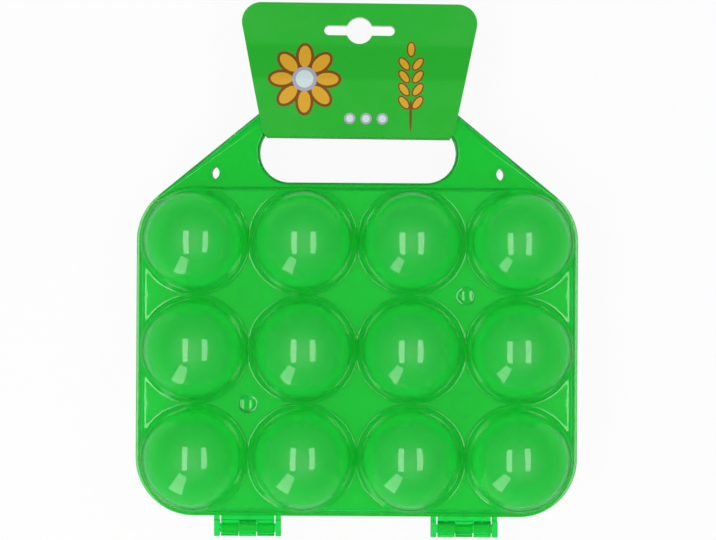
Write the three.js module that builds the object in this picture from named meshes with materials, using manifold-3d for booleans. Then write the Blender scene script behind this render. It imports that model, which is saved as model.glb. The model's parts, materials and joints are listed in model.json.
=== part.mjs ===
// Carrier for twelve eggs, in millimetres with +Z up. Two equal moulded half shells close on
// each other like a book, on two snap hinges, and a folded card hangs on the carrying handle.
// The closed carrier lies on the tips of its rear cups, with the hinges towards -Y, the handle
// towards +Y and the centre of its footprint at the origin.

import * as THREE from 'three';
import { mergeVertices } from 'three/addons/utils/BufferGeometryUtils.js';
import Module from 'manifold-3d';

// Egg cups: a tapered wall that runs into a round cap with a small flat tip
const columns = 4;
const rows = 3;
const cupPitch = 50;
const cupRadius = 24.2;
const cupCrown = 32.634;
const capRadius = 23;
const tipFlatRadius = 2.5;

// Tray that carries the cups
const wall = 1.4;
const webHeight = 6;
const trayMargin = 1.2;
const trayEdgeWidth = 3.6;
const trayEdgeHeight = 3.4;
const lipWidth = 1.5;
const lipThickness = 1.4;

// Half of the slit between the two closed shells
const rimGap = 0.15;

// Carrying handle with its finger hole
const handleHeight = 5;
const handleSlope = THREE.MathUtils.degToRad(39.4);
const handleCornerRadius = 12;
const handleEdgeWidth = 3.2;
const handleEdgeHeight = 3.4;
const barThickness = 19.6;
const fingerHoleLength = 90.5;
const fingerHoleRadius = 13.8;
const fingerHoleEdge = 2.4;
const fingerHoleRise = 0.1;

// Pointed eyelets in the foot of the handle
const eyeletSpacing = 131.2;
const eyeletRise = 4.3;
const eyeletWidth = 3.6;
const eyeletHeight = 5.6;
const eyeletBossRadius = 3.9;

// Pegs and sockets between the cups, which hold the shells in line
const pegRadius = 4.6;
const pegReach = 3.4;
const pegTipChamfer = 0.6;
const pegDimpleRadius = 3.3;
const pegDimpleCurve = 7.2;
const pegFloor = 2.2;
const socketWall = 1.2;
const socketHeight = 3.6;
const slideGap = 0.3;

// Snap hinges: a rod between two ears, held by three hooks that take turns front and back
const hingeWidth = 30.8;
const hingeReach = 5.7;
const hingeRadius = 3.8;
const rodRadius = 2;
const earThickness = 2.5;
const hookBlockWidth = 23.5;
const hookGap = 0.9;
const hookPlate = 1.8;
const hookRib = 1.2;

// Folded card, wrapped round the handle bar
const cardThickness = 0.5;
const cardGap = 0.3;
const cardDrop = 7.1;
const cardHeight = 62.6;
const cardFoldGap = 0.9;
const cardLowHalfWidth = 44.1;
const cardFoldCut = 2.5;
const cardSideSlope = THREE.MathUtils.degToRad(11.6);
const cardCornerRadius = 9;
const cardJoinDrop = 19.6;
const cardTilt = THREE.MathUtils.degToRad(0.4);
const slotLength = 32.6;
const slotHeight = 4.6;
const slotEyeRadius = 6.2;
const slotDrop = 12.6;

// Facets of the round forms
const cupSegments = 16;
const cupCapSteps = 4;
const cornerSteps = 3;
const holeSteps = 5;
const edgeSteps = 2;
const pegSegments = 12;
const rodSegments = 12;
const hookSteps = 3;

// How far a cutter runs past what it cuts
const overrun = 2;

const quarterTurn = Math.PI / 2;
const halfTurn = Math.PI;
const fullTurn = 2 * Math.PI;

// Places that follow from the sizes above
const outerCupX = (columns - 1) * cupPitch / 2;
const outerCupY = (rows - 1) * cupPitch / 2;
const lipRadius = cupRadius + trayMargin + lipWidth;
const lipHalfWidth = outerCupX + lipRadius;
const lipHalfHeight = outerCupY + lipRadius;
const fingerHoleY = lipHalfHeight + fingerHoleRise + fingerHoleRadius;
const barBottom = fingerHoleY + fingerHoleRadius;
const handleTop = barBottom + barThickness;
const hingeX = cupPitch * (columns - 2) / 2;
const hingeY = -lipHalfHeight - hingeReach;
const foldTop = fingerHoleRadius - cardDrop + cardThickness;
const holeEnd = Math.sqrt(fingerHoleRadius ** 2 - foldTop ** 2) - fingerHoleRadius;
const cardFoldHalfWidth = fingerHoleLength / 2 + holeEnd - cardFoldGap;
const cardJoin = cardHeight - cardJoinDrop;
const slotY = cardHeight - slotDrop;
const capCentre = cupCrown - capRadius;
const baseRise = webHeight - capCentre;
const tangentTurn = Math.acos(capRadius / Math.hypot(cupRadius, baseRise));
const cupWallAngle = Math.atan2(baseRise, cupRadius) + tangentTurn;
const cupTip = capCentre + Math.sqrt(capRadius ** 2 - tipFlatRadius ** 2);

const wasm = await Module();
wasm.setup();

// Closed geometry to solid: shared vertices are merged and collapsed triangles dropped
function solidOf(geometry) {
  const bare = geometry.clone();
  bare.deleteAttribute('normal');
  bare.deleteAttribute('uv');
  const merged = mergeVertices(bare);
  const index = merged.index.array;
  const triVerts = [];
  for (let i = 0; i < index.length; i += 3) {
    const [a, b, c] = [index[i], index[i + 1], index[i + 2]];
    if (a !== b && b !== c && c !== a) triVerts.push(a, b, c);
  }
  return new wasm.Manifold(new wasm.Mesh({
    numProp: 3,
    vertProperties: new Float32Array(merged.attributes.position.array),
    triVerts: new Uint32Array(triVerts),
  }));
}

function geometryOf(solid) {
  const mesh = solid.getMesh();
  const geometry = new THREE.BufferGeometry();
  geometry.setAttribute('position', new THREE.BufferAttribute(mesh.vertProperties, 3));
  geometry.setIndex(new THREE.BufferAttribute(mesh.triVerts, 1));
  geometry.computeVertexNormals();
  return geometry;
}

function joined(solids) {
  return solids.reduce((whole, piece) => whole.add(piece));
}

// A profile of radius and height, turned about a vertical axis at (x, y)
function turned(profile, segments, x, y) {
  const points = profile.map(([radius, height]) => new THREE.Vector2(radius, height));
  const geometry = new THREE.LatheGeometry(points, segments);
  return solidOf(geometry.rotateX(quarterTurn).translate(x, y, 0));
}

// A flat outline drawn upwards between two heights
function upright(shape, bottom, top, curveSegments = cornerSteps) {
  const options = { depth: top - bottom, bevelEnabled: false, curveSegments };
  return solidOf(new THREE.ExtrudeGeometry(shape, options).translate(0, 0, bottom));
}

// An outline of Y and Z, drawn along X between two places
function sideways(shape, left, right, curveSegments = hookSteps) {
  const options = { depth: right - left, bevelEnabled: false, curveSegments };
  const geometry = new THREE.ExtrudeGeometry(shape, options).translate(0, 0, left);
  const turn = new THREE.Matrix4().makeBasis(
    new THREE.Vector3(0, 1, 0), new THREE.Vector3(0, 0, 1), new THREE.Vector3(1, 0, 0));
  return solidOf(geometry.applyMatrix4(turn));
}

// A plate whose upper edge rolls over, and which runs on below the rim
function rolled(shape, top, edgeWidth, edgeHeight) {
  const geometry = new THREE.ExtrudeGeometry(shape, {
    depth: top,
    bevelThickness: edgeHeight,
    bevelSize: edgeWidth,
    bevelOffset: -edgeWidth,
    bevelSegments: edgeSteps,
    curveSegments: cornerSteps,
  });
  return solidOf(geometry.translate(0, 0, -edgeHeight));
}

// A cutter that flares at its upper end, so that the hole it leaves has a round edge
function flared(shape, top, edge) {
  const geometry = new THREE.ExtrudeGeometry(shape, {
    depth: top,
    bevelThickness: edge,
    bevelSize: -edge,
    bevelOffset: edge,
    bevelSegments: edgeSteps,
    curveSegments: holeSteps,
  });
  return solidOf(geometry.translate(0, 0, -edge));
}

function roundedRectangle(halfWidth, halfHeight, radius) {
  const x = halfWidth - radius;
  const y = halfHeight - radius;
  const shape = new THREE.Shape();
  shape.absarc(x, y, radius, 0, quarterTurn);
  shape.absarc(-x, y, radius, quarterTurn, halfTurn);
  shape.absarc(-x, -y, radius, halfTurn, halfTurn + quarterTurn);
  shape.absarc(x, -y, radius, halfTurn + quarterTurn, fullTurn);
  return shape;
}

function stadium(x, y, halfLength, radius) {
  const shape = new THREE.Shape();
  shape.absarc(x + halfLength - radius, y, radius, -quarterTurn, quarterTurn);
  shape.absarc(x - halfLength + radius, y, radius, quarterTurn, halfTurn + quarterTurn);
  return shape;
}

function disc(x, y, radius) {
  const shape = new THREE.Shape();
  shape.absarc(x, y, radius, 0, fullTurn);
  return shape;
}

// Outline of the tray's wall or of its hollow
function trayOutline(inset) {
  const inward = lipWidth + inset;
  return roundedRectangle(lipHalfWidth - inward, lipHalfHeight - inward, lipRadius - inward);
}

// Outline of the handle: slanted sides, tangent to the round corners of the tray's lip
function handleOutline(inset) {
  const normal = new THREE.Vector2(Math.sin(handleSlope), Math.cos(handleSlope));
  const radius = handleCornerRadius - inset;
  const cornerY = handleTop - handleCornerRadius;
  const alongNormal = lipRadius - handleCornerRadius - (cornerY - outerCupY) * normal.y;
  const cornerX = outerCupX + alongNormal / normal.x;
  const footX = outerCupX + (lipRadius - inset) * normal.x;
  const footY = outerCupY + (lipRadius - inset) * normal.y;
  const shape = new THREE.Shape();
  shape.moveTo(outerCupX, outerCupY);
  shape.lineTo(footX, footY);
  shape.absarc(cornerX, cornerY, radius, quarterTurn - handleSlope, quarterTurn);
  shape.absarc(-cornerX, cornerY, radius, quarterTurn, quarterTurn + handleSlope);
  shape.lineTo(-footX, footY);
  shape.lineTo(-outerCupX, outerCupY);
  return shape;
}

function fingerHoleOutline(outset) {
  return stadium(0, fingerHoleY, fingerHoleLength / 2 + outset, fingerHoleRadius + outset);
}

// Pointed lens between two equal arcs
function eyeletOutline(x, y) {
  const halfWidth = eyeletWidth / 2;
  const halfHeight = eyeletHeight / 2;
  const radius = (halfWidth ** 2 + halfHeight ** 2) / eyeletWidth;
  const reach = Math.asin(halfHeight / radius);
  const shape = new THREE.Shape();
  shape.absarc(x - radius + halfWidth, y, radius, -reach, reach);
  shape.absarc(x + radius - halfWidth, y, radius, halfTurn - reach, halfTurn + reach);
  return shape;
}

// One cup, or its hollow when it is inset by the wall
function cup(inset, x, y) {
  const radius = capRadius - inset;
  const base = webHeight - inset;
  const baseRadius = cupRadius + (inset * Math.sin(cupWallAngle) - inset) / Math.cos(cupWallAngle);
  const tip = cupTip - inset;
  const lastAngle = Math.asin((tip - capCentre) / radius);
  const profile = [[0, -overrun], [baseRadius, -overrun], [baseRadius, base]];
  for (let i = 0; i <= cupCapSteps; i += 1) {
    const angle = cupWallAngle + (lastAngle - cupWallAngle) * i / cupCapSteps;
    profile.push([radius * Math.cos(angle), capCentre + radius * Math.sin(angle)]);
  }
  profile.push([0, tip]);
  return turned(profile, cupSegments, x, y);
}

function cups(inset) {
  const solids = [];
  for (let column = 0; column < columns; column += 1) {
    for (let row = 0; row < rows; row += 1) {
      solids.push(cup(inset, column * cupPitch - outerCupX, row * cupPitch - outerCupY));
    }
  }
  return joined(solids);
}

function eyeletPlaces() {
  return [-1, 1].map((side) => [side * eyeletSpacing / 2, lipHalfHeight + eyeletRise]);
}

// Everything that the moulding is hollowed out of
function outerForm() {
  const tray = rolled(trayOutline(0), webHeight, trayEdgeWidth, trayEdgeHeight);
  const lipShape = roundedRectangle(lipHalfWidth, lipHalfHeight, lipRadius);
  const lip = upright(lipShape, rimGap, rimGap + lipThickness);
  const handle = rolled(handleOutline(0), handleHeight, handleEdgeWidth, handleEdgeHeight);
  return joined([tray, lip, handle, cups(0)]);
}

// The hollow of the tray, its cups and the handle, with the walls between them left standing
function hollowForm() {
  const trayEdge = [trayEdgeWidth - wall, trayEdgeHeight - wall];
  const tray = rolled(trayOutline(wall), webHeight - wall, ...trayEdge);
  const handleEdge = [handleEdgeWidth - wall, handleEdgeHeight - wall];
  let handle = rolled(handleOutline(wall), handleHeight - wall, ...handleEdge);
  handle = handle.subtract(upright(trayOutline(0), -webHeight - overrun, webHeight));
  handle = handle.subtract(flared(fingerHoleOutline(wall), handleHeight, fingerHoleEdge - wall));
  for (const [x, y] of eyeletPlaces()) {
    const boss = disc(x, y, eyeletBossRadius);
    handle = handle.subtract(upright(boss, -webHeight, handleHeight, pegSegments / 2));
  }
  return joined([tray, cups(wall), handle]);
}

function belowRim() {
  const halfWidth = lipHalfWidth + overrun;
  const shape = new THREE.Shape();
  shape.moveTo(-halfWidth, -lipHalfHeight - overrun);
  shape.lineTo(halfWidth, -lipHalfHeight - overrun);
  shape.lineTo(halfWidth, handleTop + overrun);
  shape.lineTo(-halfWidth, handleTop + overrun);
  return upright(shape, -webHeight - overrun - handleEdgeHeight, rimGap);
}

// Hollow stud that stands through the parting plane into the other shell's socket
function peg(x, y) {
  const profile = [
    [0, -pegReach],
    [pegRadius - pegTipChamfer, -pegReach],
    [pegRadius, -pegReach + pegTipChamfer],
    [pegRadius, webHeight - wall / 2],
    [0, webHeight - wall / 2],
  ];
  return turned(profile, pegSegments, x, y);
}

// Round-bottomed dimple that the web's outer side shows over a peg
function pegDimple(x, y) {
  const sag = pegDimpleCurve - Math.sqrt(pegDimpleCurve ** 2 - pegDimpleRadius ** 2);
  const bottom = -pegReach + pegFloor;
  const profile = [
    [0, bottom],
    [pegDimpleRadius / 2, bottom + sag / 4],
    [pegDimpleRadius, bottom + sag],
    [pegDimpleRadius, webHeight + overrun],
    [0, webHeight + overrun],
  ];
  return turned(profile, pegSegments, x, y);
}

// Ring on the web's inner side that takes the other shell's peg
function socket(x, y) {
  const bore = pegRadius + slideGap;
  const bottom = webHeight - wall / 2 - socketHeight;
  const top = webHeight - wall / 2;
  const ring = upright(disc(x, y, bore + socketWall), bottom, top, pegSegments / 2);
  return ring.subtract(upright(disc(x, y, bore), bottom - overrun, webHeight - wall, pegSegments / 2));
}

// Ear of a hinge: a plate with a round end about the hinge line
function ear(left, right) {
  const shape = new THREE.Shape();
  shape.moveTo(-outerCupY - cupRadius, hingeRadius);
  const lastAngle = fullTurn + Math.asin(rimGap / hingeRadius);
  shape.absarc(hingeY, 0, hingeRadius, quarterTurn, lastAngle);
  shape.lineTo(-outerCupY - cupRadius, rimGap);
  return sideways(shape, left, right);
}

function hingeFork(x) {
  const half = hingeWidth / 2;
  const inside = half - earThickness;
  const ears = ear(x - half, x - inside).add(ear(x + inside, x + half));
  const rod = sideways(disc(hingeY, 0, rodRadius), x - half + rimGap, x + half - rimGap, rodSegments / 2);
  return { ears, rod };
}

// Half ring round the rod, on this shell's side of the parting plane or on the far side
function hook(left, right, farSide) {
  const bore = rodRadius + slideGap;
  const plateAngle = Math.asin(hookPlate / hingeRadius);
  const first = farSide ? halfTurn : 0;
  const last = farSide ? fullTurn + plateAngle : halfTurn;
  const shape = new THREE.Shape();
  shape.absarc(hingeY, 0, hingeRadius, first, last);
  shape.absarc(hingeY, 0, bore, last, first, true);
  return sideways(shape, left, right);
}

// Plate and ribs that tie the hooks to the tray, clear of the rod
function hookRoot(x, hookWidth) {
  const inner = -outerCupY - cupRadius;
  const outer = hingeY + rodRadius;
  const plate = new THREE.Shape();
  plate.moveTo(outer, rimGap);
  plate.lineTo(inner, rimGap);
  plate.lineTo(inner, rimGap + hookPlate);
  plate.lineTo(outer, rimGap + hookPlate);
  const rib = new THREE.Shape();
  rib.moveTo(outer, rimGap);
  rib.lineTo(inner, rimGap);
  rib.lineTo(inner, hingeRadius);
  rib.lineTo(outer, hingeRadius - hookRib);
  let root = sideways(plate, x - hookBlockWidth / 2, x + hookBlockWidth / 2);
  for (const step of [-1, 0, 1]) {
    const middle = x + step * (hookWidth + hookGap);
    root = root.add(sideways(rib, middle - hookRib / 2, middle + hookRib / 2));
  }
  const half = hookBlockWidth / 2 + overrun;
  const boreShape = disc(hingeY, 0, rodRadius + slideGap);
  return root.subtract(sideways(boreShape, x - half, x + half, rodSegments / 2));
}

function hingeHooks(x) {
  const hookWidth = (hookBlockWidth - 2 * hookGap) / 3;
  const hooks = [-1, 0, 1].map((step) => {
    const left = x + step * (hookWidth + hookGap) - hookWidth / 2;
    return hook(left, left + hookWidth, step === 0);
  });
  return { hooks: joined(hooks), root: hookRoot(x, hookWidth) };
}

// One half shell with its cups facing +Z and its rim at the parting plane
function halfShell() {
  const hollow = hollowForm();
  const pegY = outerCupY - cupPitch / 2;
  const fork = hingeFork(-hingeX);
  const grip = hingeHooks(hingeX);
  let shell = outerForm().subtract(hollow).subtract(belowRim());
  shell = shell.subtract(flared(fingerHoleOutline(0), handleHeight, fingerHoleEdge));
  for (const [x, y] of eyeletPlaces()) {
    shell = shell.subtract(upright(eyeletOutline(x, y), -overrun, handleHeight + overrun));
  }
  shell = joined([shell, fork.ears.subtract(hollow), fork.rod]);
  shell = joined([shell, grip.root.subtract(hollow), grip.hooks]);
  for (const side of [-1, 1]) {
    shell = shell.add(peg(side * hingeX, side * pegY)).add(socket(side * hingeX, -side * pegY));
    shell = shell.subtract(pegDimple(side * hingeX, side * pegY));
  }
  return shell;
}

// Outline of the card, whose origin is at the middle of its lower fold
function cardOutline() {
  const topHalfWidth = cardLowHalfWidth + (cardHeight - cardFoldCut) * Math.tan(cardSideSlope);
  const radius = cardCornerRadius;
  const cornerY = cardHeight - radius;
  const cornerX = topHalfWidth - radius * (1 + Math.sin(cardSideSlope)) / Math.cos(cardSideSlope);
  const shape = new THREE.Shape();
  shape.moveTo(cardFoldHalfWidth, 0);
  shape.lineTo(cardLowHalfWidth, cardFoldCut);
  shape.absarc(cornerX, cornerY, radius, -cardSideSlope, quarterTurn);
  shape.absarc(-cornerX, cornerY, radius, quarterTurn, halfTurn + cardSideSlope);
  shape.lineTo(-cardLowHalfWidth, cardFoldCut);
  shape.lineTo(-cardFoldHalfWidth, 0);
  return shape;
}

// One panel of the card: half of the lower fold, the side of the bar, then in to the middle
function cardPanel() {
  const barFace = handleHeight + cardGap;
  const barEnd = cardDrop + barThickness + cardGap;
  const shape = new THREE.Shape();
  shape.moveTo(0, rimGap);
  shape.lineTo(cardThickness, rimGap);
  shape.lineTo(cardThickness, barFace);
  shape.lineTo(barEnd, barFace);
  shape.lineTo(cardJoin, rimGap);
  shape.lineTo(cardHeight, rimGap);
  shape.lineTo(cardHeight, rimGap + cardThickness);
  shape.lineTo(cardJoin, rimGap + cardThickness);
  shape.lineTo(barEnd, barFace + cardThickness);
  shape.lineTo(0, barFace + cardThickness);
  const halfWidth = cardLowHalfWidth + cardHeight * Math.tan(cardSideSlope);
  const top = barFace + cardThickness + overrun;
  const blank = sideways(shape, -halfWidth, halfWidth);
  const slot = upright(stadium(0, slotY, slotLength / 2, slotHeight / 2), -overrun, top);
  const slotEye = upright(disc(0, slotY, slotEyeRadius), -overrun, top, pegSegments / 2);
  return blank.intersect(upright(cardOutline(), -overrun, top)).subtract(slot).subtract(slotEye);
}

const plastic = new THREE.MeshStandardMaterial({ color: 0x2bbb42, roughness: 0.18, metalness: 0 });
const print = new THREE.MeshStandardMaterial({ color: 0x2db233, roughness: 0.35, metalness: 0 });

function named(name, geometry, material) {
  const mesh = new THREE.Mesh(geometry, material);
  mesh.name = name;
  return mesh;
}

const shellGeometry = geometryOf(halfShell());
const frontShell = named('front_shell', shellGeometry, plastic);
const backShell = named('back_shell', shellGeometry, plastic);
backShell.rotation.y = halfTurn;

const panelGeometry = geometryOf(cardPanel());
const cardFront = named('card_front_panel', panelGeometry, print);
const cardBack = named('card_back_panel', panelGeometry, print);
cardBack.scale.z = -1;
const card = new THREE.Group();
card.add(cardFront, cardBack);
card.position.y = barBottom - cardDrop;
card.rotation.z = -cardTilt;

const carrier = new THREE.Group();
carrier.add(frontShell, backShell, card);
const extent = new THREE.Box3().setFromObject(carrier, true);
const centre = extent.getCenter(new THREE.Vector3());
carrier.position.set(-centre.x, -centre.y, -extent.min.z);

const model = new THREE.Group();
model.add(carrier);

export default model;
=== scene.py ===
import json
import math

import bmesh
import bpy
import numpy as np
from mathutils import Matrix, Vector
from mathutils.geometry import delaunay_2d_cdt


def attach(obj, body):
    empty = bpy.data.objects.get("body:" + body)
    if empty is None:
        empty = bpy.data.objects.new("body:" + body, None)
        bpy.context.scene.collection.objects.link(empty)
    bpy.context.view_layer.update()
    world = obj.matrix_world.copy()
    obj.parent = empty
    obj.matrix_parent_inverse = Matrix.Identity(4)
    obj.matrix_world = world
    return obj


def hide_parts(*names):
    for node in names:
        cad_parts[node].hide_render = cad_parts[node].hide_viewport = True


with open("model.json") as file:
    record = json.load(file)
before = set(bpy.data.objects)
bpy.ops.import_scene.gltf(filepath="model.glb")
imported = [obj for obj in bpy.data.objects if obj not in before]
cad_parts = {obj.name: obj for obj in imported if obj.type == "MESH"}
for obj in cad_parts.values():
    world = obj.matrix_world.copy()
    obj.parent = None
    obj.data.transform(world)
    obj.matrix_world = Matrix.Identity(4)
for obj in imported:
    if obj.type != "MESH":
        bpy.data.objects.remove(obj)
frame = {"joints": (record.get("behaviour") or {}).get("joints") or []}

# A carrier for twelve eggs, in metres. Both half shells are one and the same moulding: it is
# built once with its cups facing +Z and its rim at z = 0, and turned over for the back.

MM = 0.001

# Egg cups
COLUMNS = 4
ROWS = 3
PITCH = 50 * MM
CUP_RADIUS = 24.2 * MM
CUP_CROWN = 32.529 * MM
CAP_RADIUS = 23 * MM
TIP_FLAT_RADIUS = 1.2 * MM

# Tray with its rolled edge and lip
WALL = 1.4 * MM
WEB = 6 * MM
MARGIN = 1.2 * MM
EDGE_WIDTH = 3.2 * MM
EDGE_HEIGHT = 3.2 * MM
LIP_WIDTH = 1.5 * MM
LIP_THICKNESS = 1.4 * MM
LIP_ROUND = 0.3 * MM
ROUND_INSET = 0.3
RIM_GAP = 0.15 * MM
FILLET = 1.5 * MM

# Handle
HANDLE = 5 * MM
HANDLE_SLOPE = math.radians(39.4)
HANDLE_CORNER = 12 * MM
HANDLE_EDGE_WIDTH = 8 * MM
HANDLE_FOOT_SHARE = 0.2
HANDLE_ROUND = 3.2 * MM
HANDLE_BEVEL = 5.6 * MM
HANDLE_BEVEL_SLOPE = 0.13
HANDLE_EASE = 1 * MM
HANDLE_EDGE_HEIGHT = 3.4 * MM
BAR = 19.6 * MM
HOLE_LENGTH = 90.5 * MM
HOLE_RADIUS = 13.8 * MM
HOLE_EDGE = 1.7 * MM
HOLE_RISE = 0.1 * MM
EYELET_SPACING = 131.2 * MM
EYELET_RISE = 4.3 * MM
EYELET_WIDTH = 3.6 * MM
EYELET_HEIGHT = 5.6 * MM
EYELET_BOSS = 3.9 * MM

# Pegs and sockets
PEG_RADIUS = 4.6 * MM
PEG_REACH = 3.4 * MM
PEG_CHAMFER = 0.6 * MM
DIMPLE_RADIUS = 4.6 * MM
DIMPLE_TURN = 3.2 * MM
DIMPLE_CURVE = 8.6 * MM
DIMPLE_RINGS = 23
SOCKET_WALL = 1.2 * MM
SOCKET_HEIGHT = 3.6 * MM
SLIDE_GAP = 0.3 * MM

# Snap hinges
HINGE_WIDTH = 30.8 * MM
HINGE_REACH = 5.7 * MM
HINGE_RADIUS = 3.8 * MM
ROD_RADIUS = 2 * MM
EAR = 2.5 * MM
HOOK_BLOCK = 24.6 * MM
HOOK_GAP = 0.4 * MM
HOOK_PLATE = 1.8 * MM
HOOK_RIB = 1.2 * MM
HINGE_ROUND = 0.2 * MM
HINGE_SQUARENESS = 4

# Folded card
CARD = 0.5 * MM
CARD_GAP = 0.3 * MM
CARD_DROP = 7.1 * MM
CARD_HEIGHT = 62.6 * MM
CARD_JOIN_DROP = 19.6 * MM
CARD_FOLD_HALF_WIDTH = 42.3 * MM
CARD_LOW_HALF_WIDTH = 44.1 * MM
CARD_FOLD_CUT = 2.5 * MM
CARD_SLOPE = math.radians(11.6)
CARD_CORNER = 9 * MM
CARD_TILT = math.radians(0.4)
CARD_BEND = 0.9 * MM
SLOT_LENGTH = 32.6 * MM
SLOT_HEIGHT = 4.6 * MM
SLOT_EYE = 6.2 * MM
SLOT_DROP = 12.6 * MM
BACK_SLOT_SHIFT = -0.4 * MM

# Print on the card: places on it, with sizes as shares of the flower's radius or the ear's length
FRONT_FLOWER = (-25 * MM, 27 * MM, 17 * MM)
BACK_FLOWER = (0, 24 * MM, 11 * MM)
PETALS = 8
PETAL_REACH = 0.62
PETAL_LENGTH = 0.38
PETAL_WIDTH = 0.25
PETAL_LINE = 0.08
FLOWER_RING = 0.34
FLOWER_EYE = 0.24
GRAIN_EAR = (24 * MM, 13 * MM, 30 * MM)
GRAIN_ROWS = 4
GRAIN_START = 0.12
GRAIN_STEP = 0.2
GRAIN_SPACING = 0.105
GRAIN_LENGTH = 0.125
GRAIN_WIDTH = 0.072
GRAIN_LEAN = math.radians(52)
GRAIN_TIP = 0.95
GRAIN_LINE = 0.024
STEM_DROP = 0.08
STEM_WIDTH = 0.022
STEM_LENGTH = 0.24
DOTS = 3
DOT_PLACE = (-4 * MM, 9 * MM)
DOT_STEP = 7.5 * MM
DOT_RADIUS = 2.6 * MM
DOT_EYE = 1.7 * MM

# Fineness of the meshes
CUP_STEPS = 96
CAP_RINGS = 14
WALL_RINGS = 6
FILLET_SHARES = (0.12, 0.26, 0.42, 0.62, 0.85)
FILLET_REACH = 1.8 * FILLET
WEB_RINGS = 3
EDGE_RINGS = 9
EDGE_CROWDING = 0.9
SIDE_CROWDING = 3
AT_BORDER = 0.9999
ROLL_STEPS = 10
EASE_STEPS = 4
ARC_STEPS = 16
ROUND_STEPS = 40
FOLD_LEVELS = 12
CARD_LEVEL = 1.2 * MM
FOLD_ROUNDING = 0.5 * MM
BEVEL_ANGLE = math.radians(40)
SHARP_ANGLE = math.radians(38)

# Small lengths: what cutters reach beyond a body, a hair's breadth, and where points are one
OVERRUN = 2 * MM
SKIN = 0.02 * MM
MERGED = MM / 1000

# Range that a noise fills for the most part. Each noise is given by its scale and its detail
NOISE_RANGE = (0.3, 0.7)

# Inks and paper of the card, each from its darkest to its lightest
INKS = {
    "green_ink": ((0.012, 0.43, 0.020), (0.018, 0.46, 0.026)),
    "ochre_ink": ((0.66, 0.35, 0.016), (0.72, 0.39, 0.022)),
    "brown_ink": ((0.19, 0.062, 0.005), (0.23, 0.078, 0.008)),
    "grey_ink": ((0.36, 0.37, 0.44), (0.40, 0.41, 0.48)),
    "pale_ink": ((0.58, 0.70, 0.70), (0.63, 0.75, 0.75)),
    "bare_paper": ((0.55, 0.55, 0.54), (0.68, 0.68, 0.66)),
}
GREEN_INK, OCHRE_INK, BROWN_INK, GREY_INK, PALE_INK, PAPER = range(len(INKS))
MOTTLE_NOISE = (900, 4)
SHEET_NOISE = (120, 2)
SHEET_ROUGHNESS = (0.2, 0.26)
LACQUER = 0.2
LACQUER_ROUGHNESS = 0.1
FIBRE_NOISE = (1800, 3)
FIBRE_HEIGHT = 0.02 * MM
FIBRE_STRENGTH = 0.3

# Studio: how bright the world and the floor are to each kind of ray, and the floor itself
WORLD_LEVEL = 0.5
CEILING_LEVEL = 0.12
GLOSS_LEVEL = 0.22
BACKDROP_TOP = math.radians(20)
BACKDROP_FADE = math.radians(20)
SHADOW_SHARE = 0.08
FLOOR_HALF = 5
FLOOR_COLOUR = (0.8, 0.8, 0.8)
FLOOR_ROUGHNESS = 0.9

# Soft lights: top and bottom end of the middle line and the width, in mm, and the radiance
LIGHTS = {
    "left_strip": ((-230, 240, 604), (-251, -375, 659), 140, 5.0),
    "right_strip": ((211, 213, 536), (223, -299, 558), 125, 4.6),
    "side_panel": ((-300, -501, 605), (-340, -600, 25), 228, 3.3),
}

# Camera: the frame's width, the plane where it has it, and the place above it. Sensor in mm
FRAME_WIDTH = 329.4 * MM
FRAME_PLANE = 38.5 * MM
CAMERA_DISTANCE = 1200 * MM
CAMERA_X = 0.3 * MM
CAMERA_Y = -0.2 * MM
CAMERA_ROLL = math.radians(0.34)
CAMERA_SENSOR = 36
CAMERA_RANGE = (0.01, 20)

# Places that follow from the lengths
OUTER_X = (COLUMNS - 1) * PITCH / 2
OUTER_Y = (ROWS - 1) * PITCH / 2
TRAY_RADIUS = CUP_RADIUS + MARGIN
LIP_RADIUS = TRAY_RADIUS + LIP_WIDTH
LIP_TOP = RIM_GAP + LIP_THICKNESS
LIP_Y = OUTER_Y + LIP_RADIUS
HOLE_Y = LIP_Y + HOLE_RISE + HOLE_RADIUS
BAR_BOTTOM = HOLE_Y + HOLE_RADIUS
HANDLE_TOP = BAR_BOTTOM + BAR
HINGE_X = PITCH * (COLUMNS - 2) / 2
HINGE_Y = -LIP_Y - HINGE_REACH
HINGE_ROOT_Y = -OUTER_Y - CUP_RADIUS
PEG_Y = OUTER_Y - PITCH / 2
CAP_CENTRE = CUP_CROWN - CAP_RADIUS
CUP_WALL_ANGLE = math.atan2(WEB - CAP_CENTRE, CUP_RADIUS)
CUP_WALL_ANGLE += math.acos(CAP_RADIUS / math.hypot(CUP_RADIUS, WEB - CAP_CENTRE))
CUP_TIP = CAP_CENTRE + math.sqrt(CAP_RADIUS ** 2 - TIP_FLAT_RADIUS ** 2)
CUPS = [
    (column * PITCH - OUTER_X, row * PITCH - OUTER_Y)
    for column in range(COLUMNS)
    for row in range(ROWS)
]

# Green plastic: the dye of the web, with light and shade painted in at heights of the moulding,
# and waves and haze from the mould
WEB_DYE = (0.030, 0.90, 0.135)
# Painted light: the cups' lower walls a brighter green than the web
WALL_PAINTED_LIGHT = (0.065, 1, 0.19)
# Painted shade: the cups' caps a slightly darker, duller green than the web
CAP_PAINTED_SHADE = (0.056, 0.83, 0.155)
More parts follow.
